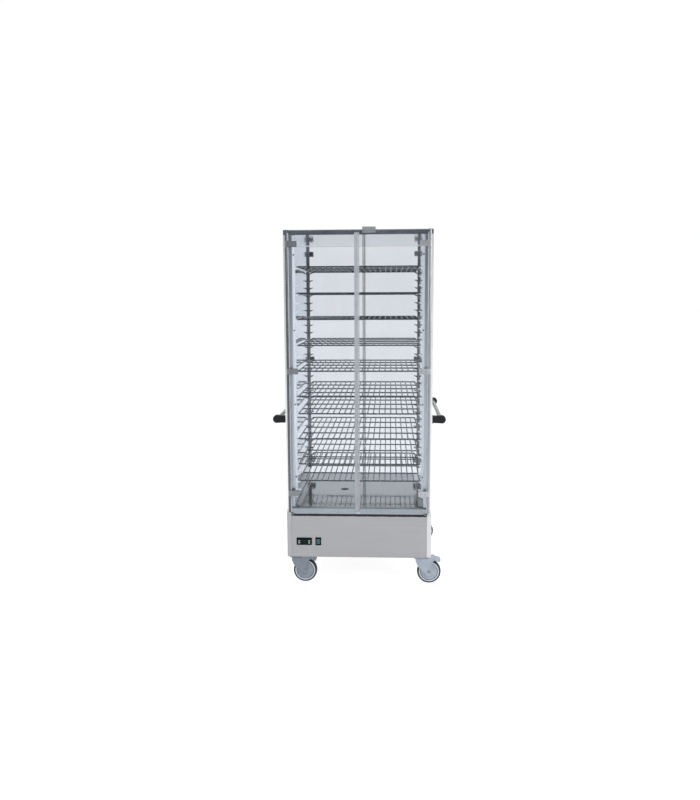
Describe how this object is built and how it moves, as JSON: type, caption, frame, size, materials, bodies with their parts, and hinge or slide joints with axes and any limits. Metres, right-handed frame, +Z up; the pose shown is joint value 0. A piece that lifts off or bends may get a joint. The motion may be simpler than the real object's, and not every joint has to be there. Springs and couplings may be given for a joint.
{
  "type": "proofing cabinet",
  "caption": "Mobile pass-through proofing cabinet with clear double doors front and rear, wire shelves on notched uprights, a heated base, side push handles and swivel casters.",
  "frame": {"origin": "on the floor, below the middle of the cabinet", "axes": "+Z up, the front doors and the controls face -Y, +X to the right seen from the front"},
  "size_m": [0.858, 0.854, 1.77],
  "materials": {
    "brushed_steel": "vertically brushed stainless sheet, light grey",
    "polished_steel": "bright polished stainless",
    "rack_steel": "bright bent stainless strip",
    "shelf_wire": "drawn stainless wire",
    "hinge_steel": "satin stainless rod and clamps",
    "door_clear": "clear sheet with polished edges",
    "caster_steel": "bright zinc-plated pressed steel",
    "caster_tyre": "dark grey tread on a light grey wheel",
    "black_plastic": "moulded black plastic",
    "key_plastic": "white membrane-style keys",
    "switch_lens": "translucent green rocker",
    "element_steel": "heat-darkened steel sheath"
  },
  "bodies": {
    "cabinet": {"side_wall_left": "brushed_steel", "side_wall_right": "brushed_steel", "roof": "brushed_steel", "front_sill": "brushed_steel", "rear_sill": "brushed_steel", "base_front_panel": "brushed_steel", "chassis_tray": "brushed_steel", "deck": "polished_steel", "handle_tube_left": "polished_steel", "handle_tube_right": "polished_steel", "upright_front_left": "rack_steel", "upright_front_right": "rack_steel", "upright_rear_left": "rack_steel", "upright_rear_right": "rack_steel", "shelf_01": "shelf_wire", "shelf_02": "shelf_wire", "shelf_03": "shelf_wire", "shelf_04": "shelf_wire", "shelf_05": "shelf_wire", "shelf_06": "shelf_wire", "shelf_07": "shelf_wire", "shelf_08": "shelf_wire", "shelf_09": "shelf_wire", "shelf_10": "shelf_wire", "caster_plate_front_left": "caster_steel", "caster_plate_front_right": "caster_steel", "caster_plate_rear_left": "caster_steel", "caster_plate_rear_right": "caster_steel", "handle_bracket_front_left": "black_plastic", "handle_bracket_front_right": "black_plastic", "handle_bracket_rear_left": "black_plastic", "handle_bracket_rear_right": "black_plastic", "controller": "black_plastic", "switch_frame": "black_plastic", "power_inlet": "black_plastic", "heating_element": "element_steel"},
    "front_left_door": {"door_front_left": "door_clear", "hinge_rod_front_left": "hinge_steel"},
    "front_left_swivel": {"caster_fork_front_left": "caster_steel"},
    "front_left_wheel": {"wheel_front_left": "caster_tyre"},
    "front_right_door": {"door_front_right": "door_clear", "hinge_rod_front_right": "hinge_steel", "latch_tab": "brushed_steel"},
    "front_right_swivel": {"caster_fork_front_right": "caster_steel"},
    "front_right_wheel": {"wheel_front_right": "caster_tyre"},
    "rear_left_door": {"door_rear_left": "door_clear", "hinge_rod_rear_left": "hinge_steel"},
    "rear_left_swivel": {"caster_fork_rear_left": "caster_steel"},
    "rear_left_wheel": {"wheel_rear_left": "caster_tyre"},
    "rear_right_door": {"door_rear_right": "door_clear", "hinge_rod_rear_right": "hinge_steel"},
    "rear_right_swivel": {"caster_fork_rear_right": "caster_steel"},
    "rear_right_wheel": {"wheel_rear_right": "caster_tyre"},
    "left_brake": {"brake_pedal_left": "caster_steel"},
    "right_brake": {"brake_pedal_right": "caster_steel"},
    "up_button": {"key_up": "key_plastic"},
    "down_button": {"key_down": "key_plastic"},
    "set_button": {"key_set": "key_plastic"},
    "light_button": {"key_light": "key_plastic"},
    "power_rocker": {"switch_rocker": "switch_lens"}
  },
  "joints": [
    {"name": "front_left_door_hinge", "type": "hinge", "parent": "cabinet", "child": "front_left_door", "pos_m": [-0.3445, -0.4205, 1.06], "axis": [0, 0, -1], "range_deg": [0, 170]},
    {"name": "front_right_door_hinge", "type": "hinge", "parent": "cabinet", "child": "front_right_door", "pos_m": [0.3445, -0.4205, 1.06], "axis": [0, 0, 1], "range_deg": [0, 170]},
    {"name": "rear_left_door_hinge", "type": "hinge", "parent": "cabinet", "child": "rear_left_door", "pos_m": [-0.3445, 0.4205, 1.06], "axis": [0, 0, 1], "range_deg": [0, 170]},
    {"name": "rear_right_door_hinge", "type": "hinge", "parent": "cabinet", "child": "rear_right_door", "pos_m": [0.3445, 0.4205, 1.06], "axis": [0, 0, -1], "range_deg": [0, 170]},
    {"name": "front_left_caster_swivel", "type": "hinge", "parent": "cabinet", "child": "front_left_swivel", "pos_m": [-0.314, -0.355, 0.13], "axis": [0, 0, 1], "continuous": true},
    {"name": "front_left_wheel_spin", "type": "hinge", "parent": "front_left_swivel", "child": "front_left_wheel", "pos_m": [-0.276, -0.355, 0.06], "axis": [0, 1, 0], "continuous": true},
    {"name": "front_right_caster_swivel", "type": "hinge", "parent": "cabinet", "child": "front_right_swivel", "pos_m": [0.314, -0.355, 0.13], "axis": [0, 0, 1], "continuous": true},
    {"name": "front_right_wheel_spin", "type": "hinge", "parent": "front_right_swivel", "child": "front_right_wheel", "pos_m": [0.352, -0.355, 0.06], "axis": [0, 1, 0], "continuous": true},
    {"name": "rear_left_caster_swivel", "type": "hinge", "parent": "cabinet", "child": "rear_left_swivel", "pos_m": [-0.314, 0.355, 0.13], "axis": [0, 0, 1], "continuous": true},
    {"name": "rear_left_wheel_spin", "type": "hinge", "parent": "rear_left_swivel", "child": "rear_left_wheel", "pos_m": [-0.276, 0.355, 0.06], "axis": [0, 1, 0], "continuous": true},
    {"name": "rear_right_caster_swivel", "type": "hinge", "parent": "cabinet", "child": "rear_right_swivel", "pos_m": [0.314, 0.355, 0.13], "axis": [0, 0, 1], "continuous": true},
    {"name": "rear_right_wheel_spin", "type": "hinge", "parent": "rear_right_swivel", "child": "rear_right_wheel", "pos_m": [0.352, 0.355, 0.06], "axis": [0, 1, 0], "continuous": true},
    {"name": "left_brake_pivot", "type": "hinge", "parent": "front_left_swivel", "child": "left_brake", "pos_m": [-0.262, -0.355, 0.13], "axis": [0, 1, 0], "range_deg": [0, 10]},
    {"name": "right_brake_pivot", "type": "hinge", "parent": "front_right_swivel", "child": "right_brake", "pos_m": [0.366, -0.355, 0.13], "axis": [0, 1, 0], "range_deg": [0, 10]},
    {"name": "up_key_travel", "type": "slide", "parent": "cabinet", "child": "up_button", "axis": [0, 1, 0], "range_m": [0, 0.0008], "stiffness_N_per_m": 400},
    {"name": "down_key_travel", "type": "slide", "parent": "cabinet", "child": "down_button", "axis": [0, 1, 0], "range_m": [0, 0.0008], "stiffness_N_per_m": 400},
    {"name": "set_key_travel", "type": "slide", "parent": "cabinet", "child": "set_button", "axis": [0, 1, 0], "range_m": [0, 0.0008], "stiffness_N_per_m": 400},
    {"name": "light_key_travel", "type": "slide", "parent": "cabinet", "child": "light_button", "axis": [0, 1, 0], "range_m": [0, 0.0008], "stiffness_N_per_m": 400},
    {"name": "power_rocker_tilt", "type": "hinge", "parent": "cabinet", "child": "power_rocker", "pos_m": [-0.204, -0.409, 0.225], "axis": [-1, 0, 0], "range_deg": [0, 14]}
  ]
}
